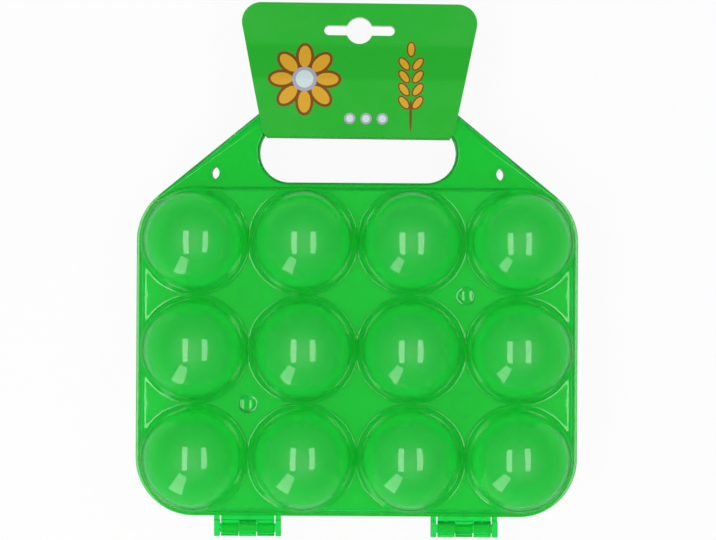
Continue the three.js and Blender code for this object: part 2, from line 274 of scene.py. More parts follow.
# Painted shade: the handle and all below its height a darker, deeper green
HANDLE_PAINTED_SHADE = (0.006, 0.85, 0.098)
PAINTED_LIGHT_AND_SHADE_STOPS = [
    (HANDLE, HANDLE_PAINTED_SHADE),
    (WEB - 0.4 * MM, WEB_DYE),
    (WEB, WEB_DYE),
    (WEB + 1.5 * MM, WALL_PAINTED_LIGHT),
    (WEB + 12 * MM, WALL_PAINTED_LIGHT),
    (WEB + 19 * MM, CAP_PAINTED_SHADE),
    (CUP_TIP - 4 * MM, CAP_PAINTED_SHADE),
    # Painted light: paler and whiter towards each cup's tip
    (CUP_TIP - 2 * MM, (0.075, 0.83, 0.17)),
    (CUP_TIP - 0.9 * MM, (0.115, 0.83, 0.20)),
    (CUP_TIP, (0.19, 0.83, 0.27)),
]
DYE_TINTS = ((0.9, 0.975, 0.95), (1.1, 1, 1.05))
CLARITY = 0.77
REFRACTION = 1.49
FLOW_NOISE = (45, 3)
FLOW_ROUGHNESS = (0.055, 0.09)
HAZE = 0.15
HAZE_ROUGHNESS = 0.4
WAVE_NOISE = (60, 2)
WAVE_HEIGHT = 0.25 * MM
WAVE_STRENGTH = 0.12

# The hinge line ties the moulding's own frame to the row's frame
hinge_point = frame["joints"][0]["pos_m"]
TRAY_Y = hinge_point[1] - HINGE_Y
PARTING_Z = hinge_point[2]
FRONT_PLACE = Matrix.Translation((0, TRAY_Y, PARTING_Z))
BACK_PLACE = FRONT_PLACE @ Matrix.Rotation(math.pi, 4, "Y")

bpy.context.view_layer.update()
scene = bpy.context.scene
scene.view_settings.view_transform = "Standard"


# Meshes

def linked(name, mesh):
    piece = bpy.data.objects.new(name, mesh)
    scene.collection.objects.link(piece)
    return piece


def closed(name, points, faces):
    """One closed body: points that meet are merged and the faces turned outwards."""
    form = bmesh.new()
    vertices = [form.verts.new(tuple(p)) for p in points]
    for face in faces:
        form.faces.new([vertices[i] for i in face])
    bmesh.ops.remove_doubles(form, verts=form.verts, dist=MERGED)
    bmesh.ops.recalc_face_normals(form, faces=form.faces)
    mesh = bpy.data.meshes.new(name)
    form.to_mesh(mesh)
    form.free()
    return linked(name, mesh)


def stacked(name, loops):
    """Closed body through loops of equal length, with a flat cap at either end."""
    count = len(loops[0])
    points = [p for loop in loops for p in loop]
    faces = [list(range(count)), list(range(len(points) - count, len(points)))]
    for level in range(len(loops) - 1):
        for i in range(count):
            a = level * count + i
            b = level * count + (i + 1) % count
            faces.append([a, b, b + count, a + count])
    return closed(name, points, faces)


def levelled(name, outline, levels):
    """Body whose outline is taken at an inset and a height for each level."""
    return stacked(name, [[(x, y, z) for x, y in outline(inset)] for inset, z in levels])


def rolled_levels(inset, top, width, height, bottom):
    """Levels of a plate whose upper edge is a quarter ellipse."""
    levels = [(inset, bottom)]
    for step in range(ROLL_STEPS + 1):
        angle = step * math.pi / 2 / ROLL_STEPS
        drop = height * (1 - math.sin(angle))
        levels.append((inset + width * (1 - math.cos(angle)), top - drop))
    return levels


def turned(name, profile, x, y):
    """Solid of revolution about a vertical axis, from a profile of radius and height."""
    loops = []
    for radius, height in profile:
        loop = []
        for i in range(ROUND_STEPS):
            angle = 2 * math.pi * i / ROUND_STEPS
            loop.append((x + radius * math.cos(angle), y + radius * math.sin(angle), height))
        loops.append(loop)
    return stacked(name, loops)


def prism(name, outline, left, right, rounding=0.0):
    """An outline of Y and Z, drawn along X, with its sharp edges rounded off."""
    piece = stacked(name, [[(x, y, z) for y, z in outline] for x in (left, right)])
    if rounding:
        form = bmesh.new()
        form.from_mesh(piece.data)
        sharp = [e for e in form.edges if e.calc_face_angle(0) > BEVEL_ANGLE]
        bmesh.ops.bevel(form, geom=sharp, offset=rounding, segments=2, profile=0.5,
                        affect="EDGES", clamp_overlap=True)
        form.to_mesh(piece.data)
        form.free()
    return piece


def arc(x, y, radius, first, last, steps=ARC_STEPS):
    points = []
    for i in range(steps + 1):
        angle = first + (last - first) * i / steps
        points.append((x + radius * math.cos(angle), y + radius * math.sin(angle)))
    return points


def combine(body, tool, operation):
    """One boolean between two closed bodies, which uses up the tool."""
    modifier = body.modifiers.new("boolean", "BOOLEAN")
    modifier.object = tool
    modifier.operation = operation
    modifier.solver = "MANIFOLD"
    graph = bpy.context.evaluated_depsgraph_get()
    mesh = bpy.data.meshes.new_from_object(body.evaluated_get(graph))
    body.modifiers.clear()
    body.data = mesh
    bpy.data.objects.remove(tool)
    return body


def added(pieces):
    body = pieces[0]
    for piece in pieces[1:]:
        combine(body, piece, "UNION")
    return body


# Outlines

def handle_outline(inset, start=0.0):
    """Slanted sides, tangent to the tray's lip, whose rolled edge narrows towards the foot."""
    normal = (math.sin(HANDLE_SLOPE), math.cos(HANDLE_SLOPE))
    corner_y = HANDLE_TOP - HANDLE_CORNER
    along = LIP_RADIUS - HANDLE_CORNER - (corner_y - OUTER_Y) * normal[1]
    corner_x = OUTER_X + along / normal[0]
    foot_reach = LIP_RADIUS - start - (inset - start) * HANDLE_FOOT_SHARE
    foot = (OUTER_X + foot_reach * normal[0], OUTER_Y + foot_reach * normal[1])
    radius = HANDLE_CORNER - inset
    first = math.pi / 2 - HANDLE_SLOPE
    right = [(OUTER_X, OUTER_Y), foot, *arc(corner_x, corner_y, radius, first, math.pi / 2)]
    return right + [(-x, y) for x, y in reversed(right)]


def hole_outline(outset):
    reach = HOLE_LENGTH / 2 - HOLE_RADIUS
    radius = HOLE_RADIUS + outset
    quarter = math.pi / 2
    return [
        *arc(reach, HOLE_Y, radius, -quarter, quarter, 2 * ARC_STEPS),
        *arc(-reach, HOLE_Y, radius, quarter, 3 * quarter, 2 * ARC_STEPS),
    ]


def tray_outline(inset):
    radius = TRAY_RADIUS - inset
    quarter = math.pi / 2
    places = [(1, 1), (-1, 1), (-1, -1), (1, -1)]
    points = []
    for i, (side_x, side_y) in enumerate(places):
        first = i * quarter
        points += arc(side_x * OUTER_X, side_y * OUTER_Y, radius, first, first + quarter)
    return points


def eyelet_outline(x, y):
    """Pointed lens between two equal arcs."""
    half_width = EYELET_WIDTH / 2
    half_height = EYELET_HEIGHT / 2
    radius = (half_width ** 2 + half_height ** 2) / EYELET_WIDTH
    reach = math.asin(half_height / radius)
    right = arc(x - radius + half_width, y, radius, -reach, reach)
    left = arc(x + radius - half_width, y, radius, math.pi - reach, math.pi + reach)
    return right[:-1] + left[:-1]


# Tray with its cups

def cup_height(distance, inset):
    """Height of a cup at a distance from its axis: flat tip, round cap, tapered wall."""
    radius = CAP_RADIUS - inset
    edge = radius * math.cos(CUP_WALL_ANGLE)
    cap = CAP_CENTRE + np.sqrt(np.maximum(radius ** 2 - distance ** 2, 0))
    wall_top = CAP_CENTRE + radius * math.sin(CUP_WALL_ANGLE)
    wall = wall_top - (distance - edge) / math.tan(CUP_WALL_ANGLE)
    return np.minimum(np.where(distance < edge, cap, wall), CUP_TIP - inset)


def tray_height(x, y, inset):
    """Height of the web, which rolls over towards the tray's wall."""
    over_x = np.abs(x) - OUTER_X
    over_y = np.abs(y) - OUTER_Y
    corner = np.hypot(np.maximum(over_x, 0), np.maximum(over_y, 0))
    reach = np.where((over_x > 0) & (over_y > 0), corner, np.maximum(over_x, over_y))
    inward = TRAY_RADIUS - inset - reach
    share = np.clip(1 - inward / (EDGE_WIDTH - inset), 0, 1)
    return WEB - inset - (EDGE_HEIGHT - inset) * (1 - np.sqrt(1 - share ** 2))


def surface_height(x, y, inset):
    """Upper side of the moulding, or its hollow side, with a fillet round each cup."""
    heights = [tray_height(x, y, inset)]
    heights += [cup_height(np.hypot(x - cx, y - cy), inset) for cx, cy in CUPS]
    heights = np.stack(heights)
    highest = heights.max(0)
    return highest + FILLET * np.log(np.exp((heights - highest) / FILLET).sum(0))


def cell_border(cx, cy, inset):
    """Points round one cup's cell, and the outward normal of those on the tray's wall."""
    half = PITCH / 2
    reach = TRAY_RADIUS - inset
    outer_x = abs(cx) > OUTER_X - MM
    outer_y = abs(cy) > OUTER_Y - MM
    border, normals = [], []
    for i in range(CUP_STEPS):
        angle = 2 * math.pi * i / CUP_STEPS
        dx, dy = math.cos(angle), math.sin(angle)
        longer = max(abs(dx), abs(dy))
        x, y = dx / longer, dy / longer
        if outer_x and outer_y and cx * dx > -MERGED and cy * dy > -MERGED:
            border.append((cx + reach * dx, cy + reach * dy))
            normals.append((dx, dy))
            continue
        px, py = half * x, half * y
        faces_x = outer_x and cx * x > 0
        faces_y = outer_y and cy * y > 0
        if faces_x:
            px = math.copysign(reach * (1 - (1 - abs(x)) ** SIDE_CROWDING), x)
        if faces_y:
            py = math.copysign(reach * (1 - (1 - abs(y)) ** SIDE_CROWDING), y)
        normal = None
        if faces_x and abs(x) > AT_BORDER:
            normal = (math.copysign(1, x), 0)
        if faces_y and abs(y) > AT_BORDER:
            normal = (0, math.copysign(1, y))
        border.append((cx + px, cy + py))
        normals.append(normal)
    return border, normals


def way_shares(way_in, width):
    """Shares of the way from a fillet to the border, close together where the edge rolls over."""
    shares = []
    for step in range(EDGE_RINGS + 1):
        left = width * (1 - math.sin(math.pi / 2 * step / EDGE_RINGS)) / way_in
        shares.append(1 - min(left, EDGE_CROWDING * (1 - step / EDGE_RINGS)))
    return [shares[0] * step / WEB_RINGS for step in range(1, WEB_RINGS)] + shares


def cell_rings(cx, cy, border, normals, inset):
    """Rings of points from the cup's tip out to the border of its cell."""
    cap_radius = CAP_RADIUS - inset
    edge = cap_radius * math.cos(CUP_WALL_ANGLE)
    wall_gain = (inset - inset * math.sin(CUP_WALL_ANGLE)) / math.cos(CUP_WALL_ANGLE)
    base = CUP_RADIUS - wall_gain
    tip_angle = math.asin(TIP_FLAT_RADIUS / cap_radius)
    last_angle = math.pi / 2 - CUP_WALL_ANGLE
    radii = [TIP_FLAT_RADIUS / 2, TIP_FLAT_RADIUS]
    for step in range(1, CAP_RINGS + 1):
        angle = tip_angle + (last_angle - tip_angle) * step / CAP_RINGS
        radii.append(cap_radius * math.sin(angle))
    for step in range(1, WALL_RINGS + 1):
        radii.append(edge + (base - edge) * step / WALL_RINGS)
    angles = [2 * math.pi * i / CUP_STEPS for i in range(CUP_STEPS)]
    rings = []
    for radius in radii:
        rings.append([(cx + radius * math.cos(a), cy + radius * math.sin(a)) for a in angles])
    starts = rings[-1]
    fillet_ends = []
    for (sx, sy), (bx, by) in zip(starts, border):
        length = math.hypot(bx - sx, by - sy)
        part = min(1, FILLET_REACH / length)
        fillet_ends.append((sx + (bx - sx) * part, sy + (by - sy) * part))
    for share in FILLET_SHARES:
        rings.append([
            (sx + (ex - sx) * share, sy + (ey - sy) * share)
            for (sx, sy), (ex, ey) in zip(starts, fillet_ends)
        ])
    inner = rings[-1]
    spokes = []
    for (ix, iy), (bx, by), normal in zip(inner, border, normals):
        wx, wy = bx - ix, by - iy
        way_in = wx * normal[0] + wy * normal[1] if normal else math.hypot(wx, wy)
        spokes.append([(ix + wx * share, iy + wy * share)
                       for share in way_shares(way_in, EDGE_WIDTH - inset)])
    return rings + [list(ring) for ring in zip(*spokes)]


def cell_surface(cx, cy, inset, points, faces):
    """Adds one side of a cell to the tray's mesh, and returns where its border starts."""
    border, normals = cell_border(cx, cy, inset)
    rings = cell_rings(cx, cy, border, normals, inset)
    flat = np.array([(cx, cy)] + [p for ring in rings for p in ring])
    heights = surface_height(flat[:, 0], flat[:, 1], inset)
    start = len(points)
    points += [(x, y, z) for (x, y), z in zip(flat, heights)]
    first = start + 1
    for i in range(CUP_STEPS):
        faces.append([start, first + i, first + (i + 1) % CUP_STEPS])
    for ring in range(len(rings) - 1):
        row = first + ring * CUP_STEPS
        for i in range(CUP_STEPS):
            j = (i + 1) % CUP_STEPS
            faces.append([row + i, row + j, row + CUP_STEPS + j, row + CUP_STEPS + i])
    return first + (len(rings) - 1) * CUP_STEPS, normals


def rim_profile():
    """Section of the lip and the wall's foot: way out from the wall, and height."""
    corner = ROUND_INSET * LIP_ROUND
    return [
        (2 * corner, LIP_TOP),
        (LIP_WIDTH - LIP_ROUND, LIP_TOP),
        (LIP_WIDTH - corner, LIP_TOP - corner),
        (LIP_WIDTH, LIP_TOP - LIP_ROUND),
        (LIP_WIDTH, RIM_GAP + LIP_ROUND),
        (LIP_WIDTH - corner, RIM_GAP + corner),
        (LIP_WIDTH - LIP_ROUND, RIM_GAP),
        (-WALL + LIP_ROUND, RIM_GAP),
        (-WALL + corner, RIM_GAP + corner),
        (-WALL, RIM_GAP + LIP_ROUND),
    ]


def tray():
    points, faces = [], []
    profile = rim_profile()
    for cx, cy in CUPS:
        outer, normals = cell_surface(cx, cy, 0, points, faces)
        inner, _ = cell_surface(cx, cy, WALL, points, faces)
        strip = {}
        for i, normal in enumerate(normals):
            if normal is None:
                continue
            x, y, _ = points[outer + i]
            strip[i] = len(points)
            for out, height in profile:
                points.append((x + normal[0] * out, y + normal[1] * out, height))
        for i in strip:
            j = (i + 1) % CUP_STEPS
            if j not in strip:
                continue
            left = [outer + i] + [strip[i] + k for k in range(len(profile))] + [inner + i]
            right = [outer + j] + [strip[j] + k for k in range(len(profile))] + [inner + j]
            for k in range(len(left) - 1):
                faces.append([left[k], right[k], right[k + 1], left[k + 1]])
    return closed("tray", points, faces)


# Handle, hinges, pegs and sockets

def eyelet_places():
    return [(side * EYELET_SPACING / 2, LIP_Y + EYELET_RISE) for side in (-1, 1)]


def hole_levels(outset, edge):
    """Levels of a cutter for the finger hole, whose upper edge is rounded off."""
    levels = [(outset, -OVERRUN)]
    for step in range(ROLL_STEPS + 1):
        angle = step * math.pi / 2 / ROLL_STEPS
        drop = edge * (1 - math.sin(angle))
        levels.append((outset + edge * (1 - math.cos(angle)), HANDLE - drop))
    levels.append((outset + edge, HANDLE + OVERRUN))
    return levels


def handle_levels():
    """Levels of the handle's edge: a round, then a gentle bevel eased into the flat top."""
    bevel_drop = HANDLE_BEVEL_SLOPE * (HANDLE_BEVEL + HANDLE_EASE / 2)
    round_height = HANDLE_EDGE_HEIGHT - bevel_drop
    insets = [
        HANDLE_ROUND * (1 - math.cos(step * math.pi / 2 / ROLL_STEPS))
        for step in range(ROLL_STEPS + 1)
    ]
    insets += [HANDLE_BEVEL + HANDLE_EASE * step / EASE_STEPS for step in range(EASE_STEPS + 1)]
    levels = [(0, RIM_GAP)]
    for inset in insets:
        steepness = max(0, 1 - inset / HANDLE_ROUND)
        drop = round_height * (1 - math.sqrt(1 - steepness ** 2))
        if inset < HANDLE_BEVEL:
            drop += bevel_drop - HANDLE_BEVEL_SLOPE * inset
        else:
            rest = HANDLE_BEVEL + HANDLE_EASE - inset
            drop += HANDLE_BEVEL_SLOPE * rest ** 2 / 2 / HANDLE_EASE
        levels.append((inset, HANDLE - drop))
    return levels


def handle_plate():
    plate = levelled("handle", handle_outline, handle_levels())
    inside = levelled("inside", tray_outline, [(WALL / 2, -OVERRUN), (WALL / 2, HANDLE + OVERRUN)])
    return combine(plate, inside, "DIFFERENCE")


def handle_hollow():
    width = HANDLE_EDGE_WIDTH - WALL
    height = HANDLE_EDGE_HEIGHT - WALL
    levels = rolled_levels(WALL, HANDLE - WALL, width, height, -OVERRUN)
    hollow = levelled("hollow", lambda inset: handle_outline(inset, WALL), levels)
    tray_block = [(-SKIN, -2 * OVERRUN), (-SKIN, HANDLE + OVERRUN)]
    combine(hollow, levelled("block", tray_outline, tray_block), "DIFFERENCE")
    hole = levelled("hole", hole_outline, hole_levels(WALL, HOLE_EDGE - WALL))
    combine(hollow, hole, "DIFFERENCE")
    for x, y in eyelet_places():
        boss = turned("boss", [(EYELET_BOSS, -2 * OVERRUN), (EYELET_BOSS, HANDLE)], x, y)
        combine(hollow, boss, "DIFFERENCE")
    return hollow


def peg(x, y):
    profile = [
        (PEG_RADIUS - PEG_CHAMFER, -PEG_REACH),
        (PEG_RADIUS, -PEG_REACH + PEG_CHAMFER),
        (PEG_RADIUS, WEB - WALL / 2),
    ]
    return turned("peg", profile, x, y)


def dimple(x, y):
    """Round hollow over a peg, eased into the web."""
    slope = DIMPLE_TURN / DIMPLE_CURVE
    ease = DIMPLE_RADIUS - DIMPLE_TURN
    profile = []
    for ring in range(DIMPLE_RINGS + 1):
        radius = DIMPLE_RADIUS * max(ring / DIMPLE_RINGS, SKIN / DIMPLE_RADIUS)
        depth = slope * (DIMPLE_TURN + ease) / 2 - radius ** 2 / 2 / DIMPLE_CURVE
        if radius > DIMPLE_TURN:
            depth = slope * (DIMPLE_RADIUS - radius) ** 2 / 2 / ease
        profile.append((radius, WEB - depth))
    profile.append((DIMPLE_RADIUS, WEB + OVERRUN))
    return turned("dimple", profile, x, y)


def socket(x, y):
    bore = PEG_RADIUS + SLIDE_GAP
    bottom = WEB - WALL / 2 - SOCKET_HEIGHT
    top = WEB - WALL / 2
    ring = turned("socket", [(bore + SOCKET_WALL, bottom), (bore + SOCKET_WALL, top)], x, y)
    hole = turned("bore", [(bore, bottom - OVERRUN), (bore, WEB - WALL)], x, y)
    return combine(ring, hole, "DIFFERENCE")


def squared_arc(first, last, steps):
    """Way round the hinge line on a rounded square."""
    points = []
    for i in range(steps + 1):
        angle = first + (last - first) * i / steps
        across, up = math.cos(angle), math.sin(angle)
        power = abs(across) ** HINGE_SQUARENESS + abs(up) ** HINGE_SQUARENESS
        radius = HINGE_RADIUS / power ** (1 / HINGE_SQUARENESS)
        points.append((HINGE_Y + radius * across, radius * up))
    return points


def ear(left, right):
    last = 2 * math.pi + math.asin(RIM_GAP / HINGE_RADIUS)
    outline = [
        (HINGE_ROOT_Y, HINGE_RADIUS),
        *squared_arc(math.pi / 2, last, 3 * ARC_STEPS),
        (HINGE_ROOT_Y, RIM_GAP),
    ]
    return prism("ear", outline, left, right, HINGE_ROUND)


def hinge_fork(x):
    half = HINGE_WIDTH / 2
    inside = half - EAR
    ears = [ear(x - half, x - inside), ear(x + inside, x + half)]
    rod_outline = arc(HINGE_Y, 0, ROD_RADIUS, 0, 2 * math.pi, ROUND_STEPS)[:-1]
    rod = prism("rod", rod_outline, x - half + HINGE_ROUND, x + half - HINGE_ROUND)
    return added([ears[0], ears[1], rod])


def hook(left, right, far_side):
    """Half ring round the rod, on this shell's side of the parting plane or on the far side."""
    bore = ROD_RADIUS + SLIDE_GAP
    plate_angle = math.asin(HOOK_PLATE / HINGE_RADIUS)
    first = math.pi if far_side else 0
    last = 2 * math.pi + plate_angle if far_side else math.pi
    outline = squared_arc(first, last, 2 * ARC_STEPS)
    outline += arc(HINGE_Y, 0, bore, last, first, 2 * ARC_STEPS)
    return prism("hook", outline, left, right, HINGE_ROUND)


def hinge_hooks(x):
    width = (HOOK_BLOCK - 2 * HOOK_GAP) / 3
    outer = HINGE_Y + ROD_RADIUS
    top = RIM_GAP + HOOK_PLATE
    half = HOOK_BLOCK / 2
    plate_outline = [(outer, RIM_GAP), (HINGE_ROOT_Y, RIM_GAP), (HINGE_ROOT_Y, top), (outer, top)]
    rib_outline = [
        (outer, RIM_GAP),
        (HINGE_ROOT_Y, RIM_GAP),
        (HINGE_ROOT_Y, HINGE_RADIUS),
        (outer, HINGE_RADIUS - HOOK_RIB),
    ]
    pieces = [prism("plate", plate_outline, x - half, x + half, HINGE_ROUND)]
    for step in (-1, 0, 1):
        middle = x + step * (width + HOOK_GAP)
        pieces.append(prism("rib", rib_outline, middle - HOOK_RIB / 2, middle + HOOK_RIB / 2,
                            HINGE_ROUND))
    root = added(pieces)
    bore_outline = arc(HINGE_Y, 0, ROD_RADIUS + SLIDE_GAP, 0, 2 * math.pi, ROUND_STEPS)[:-1]
    bore = prism("bore", bore_outline, x - half - OVERRUN, x + half + OVERRUN)
    combine(root, bore, "DIFFERENCE")
    for step in (-1, 0, 1):
        left = x + step * (width + HOOK_GAP) - width / 2
        combine(root, hook(left, left + width, step == 0), "UNION")
    return root


def half_shell():
    shell = added([tray(), handle_plate(), hinge_fork(-HINGE_X), hinge_hooks(HINGE_X)])
    combine(shell, handle_hollow(), "DIFFERENCE")
    hole = levelled("hole", hole_outline, hole_levels(0, HOLE_EDGE))
    combine(shell, hole, "DIFFERENCE")
    for x, y in eyelet_places():
        outline = eyelet_outline(x, y)
        heights = (-OVERRUN, HANDLE + OVERRUN)
        eyelet = stacked("eyelet", [[(px, py, z) for px, py in outline] for z in heights])
        combine(shell, eyelet, "DIFFERENCE")
    for side in (-1, 1):
        combine(shell, peg(side * HINGE_X, side * PEG_Y), "UNION")
        combine(shell, socket(side * HINGE_X, -side * PEG_Y), "UNION")
        combine(shell, dimple(side * HINGE_X, side * PEG_Y), "DIFFERENCE")
    return shell


def shaded(piece):
    """Smooth shading, with the sharp edges kept and normals that follow the large faces."""
    piece.data.shade_smooth()
    piece.data.set_sharp_from_angle(angle=SHARP_ANGLE)
    modifier = piece.modifiers.new("normals", "WEIGHTED_NORMAL")
    modifier.keep_sharp = True
    graph = bpy.context.evaluated_depsgraph_get()
    piece.data = bpy.data.meshes.new_from_object(piece.evaluated_get(graph))
    piece.modifiers.clear()


# Materials

def new_material(name):
    material = bpy.data.materials.new(name)
    material.use_nodes = True
    nodes = material.node_tree.nodes
    links = material.node_tree.links
    return material, nodes, links, nodes["Principled BSDF"]


def noise(nodes, links, fineness, coordinates):
    texture = nodes.new("ShaderNodeTexNoise")
    for name, value in zip(("Scale", "Detail"), fineness):
        texture.inputs[name].default_value = value
    links.new(coordinates, texture.inputs["Vector"])
    return texture.outputs["Fac"]


def ranged(nodes, links, source, start, end):
    """Maps the range from start to end, which are pairs of the source's value and the result's."""
    ramp = nodes.new("ShaderNodeMapRange")
    ramp.inputs["From Min"].default_value, ramp.inputs["To Min"].default_value = start
    ramp.inputs["From Max"].default_value, ramp.inputs["To Max"].default_value = end
    links.new(source, ramp.inputs["Value"])
    return ramp.outputs["Result"]


def roughened(nodes, links, source, levels, shader):
    """Roughness from the middle range of a noise."""
    start, end = zip(NOISE_RANGE, levels)
    links.new(ranged(nodes, links, source, start, end), shader.inputs["Roughness"])


def tinted(nodes, links, source, first, second):
    mix = nodes.new("ShaderNodeMix")
    mix.data_type = "RGBA"
    mix.inputs["A"].default_value = (*first, 1)
    mix.inputs["B"].default_value = (*second, 1)
    links.new(source, mix.inputs["Factor"])
    return mix.outputs["Result"]


def bumped(nodes, links, source, distance, strength, shader):
    bump = nodes.new("ShaderNodeBump")
    bump.inputs["Distance"].default_value = distance
    bump.inputs["Strength"].default_value = strength
    links.new(source, bump.inputs["Height"])
    links.new(bump.outputs["Normal"], shader.inputs["Normal"])


def against(nodes, links, operation, value, number):
    """The value and a number, put through one arithmetic step."""
    step = nodes.new("ShaderNodeMath")
    step.operation = operation
    step.inputs[1].default_value = number
    links.new(value, step.inputs[0])
    return step.outputs[0]


def light_and_shade_by_height(nodes, links, source, stops):
    """Painted light and shade: colour at a share of the cups' height, from stops that give a
    height and its colour.
    """
    ramp = nodes.new("ShaderNodeValToRGB")
    elements = ramp.color_ramp.elements
    while len(elements) < len(stops):
        elements.new(1)
    for element, (height, colour) in zip(elements, stops):
        element.position = height / CUP_TIP
        element.color = (*colour, 1)
    links.new(source, ramp.inputs["Fac"])
    return ramp.outputs["Color"]


def plastic_material():
    """Clear green polypropylene: see-through, slightly wavy and hazy from the mould."""
    material, nodes, links, shader = new_material("green_plastic")
    place = nodes.new("ShaderNodeTexCoord").outputs["Object"]
    flow = noise(nodes, links, FLOW_NOISE, place)
    shader.inputs["Transmission Weight"].default_value = CLARITY
    shader.inputs["IOR"].default_value = REFRACTION
    height = nodes.new("ShaderNodeSeparateXYZ")
    links.new(place, height.inputs[0])
    share = against(nodes, links, "DIVIDE", height.outputs["Z"], CUP_TIP)
    # Painted light and shade by height, times a random tint from the flow of the plastic
    tone_with_painted_light = nodes.new("ShaderNodeMix")
    tone_with_painted_light.data_type = "RGBA"
    tone_with_painted_light.blend_type = "MULTIPLY"
    tone_with_painted_light.inputs["Factor"].default_value = 1
    links.new(light_and_shade_by_height(nodes, links, share, PAINTED_LIGHT_AND_SHADE_STOPS), tone_with_painted_light.inputs["A"])
    links.new(tinted(nodes, links, flow, *DYE_TINTS), tone_with_painted_light.inputs["B"])
    links.new(tone_with_painted_light.outputs["Result"], shader.inputs["Base Color"])
    roughened(nodes, links, flow, FLOW_ROUGHNESS, shader)
    shader.inputs["Coat Weight"].default_value = HAZE
    shader.inputs["Coat Roughness"].default_value = HAZE_ROUGHNESS
    waves = noise(nodes, links, WAVE_NOISE, place)
    bumped(nodes, links, waves, WAVE_HEIGHT, WAVE_STRENGTH, shader)
    return material


def ink_material(name, dark, light):
    """Printed and laminated card: slight mottle of the ink over a faint paper grain."""
    material, nodes, links, shader = new_material(name)
    place = nodes.new("ShaderNodeTexCoord").outputs["Object"]
    mottle = noise(nodes, links, MOTTLE_NOISE, place)
    links.new(tinted(nodes, links, mottle, dark, light), shader.inputs["Base Color"])
    sheet = noise(nodes, links, SHEET_NOISE, place)
    roughened(nodes, links, sheet, SHEET_ROUGHNESS, shader)
    shader.inputs["Coat Weight"].default_value = LACQUER
    shader.inputs["Coat Roughness"].default_value = LACQUER_ROUGHNESS
    fibres = noise(nodes, links, FIBRE_NOISE, place)
    bumped(nodes, links, fibres, FIBRE_HEIGHT, FIBRE_STRENGTH, shader)
    return material


# Card

def smooth_bend(y, place):
    """Ramp that starts at a place, rounded off."""
    return FOLD_ROUNDING * np.logaddexp(0, (y - place) / FOLD_ROUNDING)


def card_section(v, depth):
    """Y and Z of the card at a distance v along it, and a depth below its printed side."""
    face = HANDLE + CARD_GAP + CARD
    bar_end = CARD_DROP + BAR + CARD_GAP
    join = CARD_HEIGHT - CARD_JOIN_DROP
    if v >= CARD_BEND:
        slope = (face - RIM_GAP - CARD) / (join - bar_end)
        drop = slope * (smooth_bend(v, bar_end) - smooth_bend(v, join))
        return v, face - drop - depth
    turn = (CARD_BEND - v) / CARD_BEND
    radius = CARD_BEND - depth
    if turn < math.pi / 2:
        angle = math.pi / 2 + turn
        return CARD_BEND + radius * math.cos(angle), face - CARD_BEND + radius * math.sin(angle)
    return depth, face - CARD_BEND - (turn - math.pi / 2) * CARD_BEND


def card_outline():
    face = HANDLE + CARD_GAP + CARD
    fold_end = CARD_BEND - (face - CARD_BEND - RIM_GAP) - CARD_BEND * math.pi / 2
    top_half_width = CARD_LOW_HALF_WIDTH + (CARD_HEIGHT - CARD_FOLD_CUT) * math.tan(CARD_SLOPE)
    corner_y = CARD_HEIGHT - CARD_CORNER
    inward = CARD_CORNER * (1 + math.sin(CARD_SLOPE)) / math.cos(CARD_SLOPE)
    corner_x = top_half_width - inward
    right = [
        (CARD_FOLD_HALF_WIDTH, fold_end),
        (CARD_FOLD_HALF_WIDTH, 0),
        (CARD_LOW_HALF_WIDTH, CARD_FOLD_CUT),
        *arc(corner_x, corner_y, CARD_CORNER, -CARD_SLOPE, math.pi / 2),
    ]
    return right + [(-x, y) for x, y in reversed(right)]


def slot_outline(shift):
    """Hanging slot: a long slot through a round eye."""
    y = CARD_HEIGHT - SLOT_DROP + shift
    half = SLOT_HEIGHT / 2
    reach = SLOT_LENGTH / 2 - half
    crossing = math.asin(half / SLOT_EYE)
    quarter = math.pi / 2
    right = arc(reach, y, half, -quarter, quarter)
    upper = arc(0, y, SLOT_EYE, crossing, math.pi - crossing)
    left = arc(-reach, y, half, quarter, 3 * quarter)
    lower = arc(0, y, SLOT_EYE, math.pi + crossing, 2 * math.pi - crossing)
    return right + upper + left + lower


def ellipse(x, y, radius_x, radius_y, turn=0.0):
    points = []
    for i in range(ROUND_STEPS):
        angle = 2 * math.pi * i / ROUND_STEPS
        px, py = radius_x * math.cos(angle), radius_y * math.sin(angle)
        points.append((x + px * math.cos(turn) - py * math.sin(turn),
                       y + px * math.sin(turn) + py * math.cos(turn)))
    return points


def outlined(shapes, stroke):
    """Ellipses with a brown line round each, drawn so that the fills lie over all the lines."""
    drawn = [(ellipse(x, y, rx, ry, turn), BROWN_INK) for x, y, rx, ry, turn in shapes]
    drawn += [
        (ellipse(x, y, rx - stroke, ry - stroke, turn), OCHRE_INK) for x, y, rx, ry, turn in shapes
    ]
    return drawn


def eye(x, y, ring, middle):
    """Pale round spot in a grey ring."""
    return [(ellipse(x, y, ring, ring), GREY_INK), (ellipse(x, y, middle, middle), PALE_INK)]


def flower(x, y, radius):
    petals = []
    for i in range(PETALS):
        turn = 2 * math.pi * i / PETALS
        reach = PETAL_REACH * radius
        petals.append((x + reach * math.cos(turn), y + reach * math.sin(turn),
                       PETAL_LENGTH * radius, PETAL_WIDTH * radius, turn))
    middle = eye(x, y, FLOWER_RING * radius, FLOWER_EYE * radius)
    return outlined(petals, PETAL_LINE * radius) + middle


def grain_ear(x, y, length):
    grains = []
    size = (GRAIN_LENGTH * length, GRAIN_WIDTH * length)
    for i in range(GRAIN_ROWS):
        height = y + length * (GRAIN_START + GRAIN_STEP * i)
        for side in (-1, 1):
            grains.append((x + side * GRAIN_SPACING * length, height, *size, side * GRAIN_LEAN))
    grains.append((x, y + length * GRAIN_TIP, *size, math.pi / 2))
    stem = ellipse(x, y - STEM_DROP * length, STEM_WIDTH * length, STEM_LENGTH * length)
    return [(stem, BROWN_INK)] + outlined(grains, GRAIN_LINE * length)


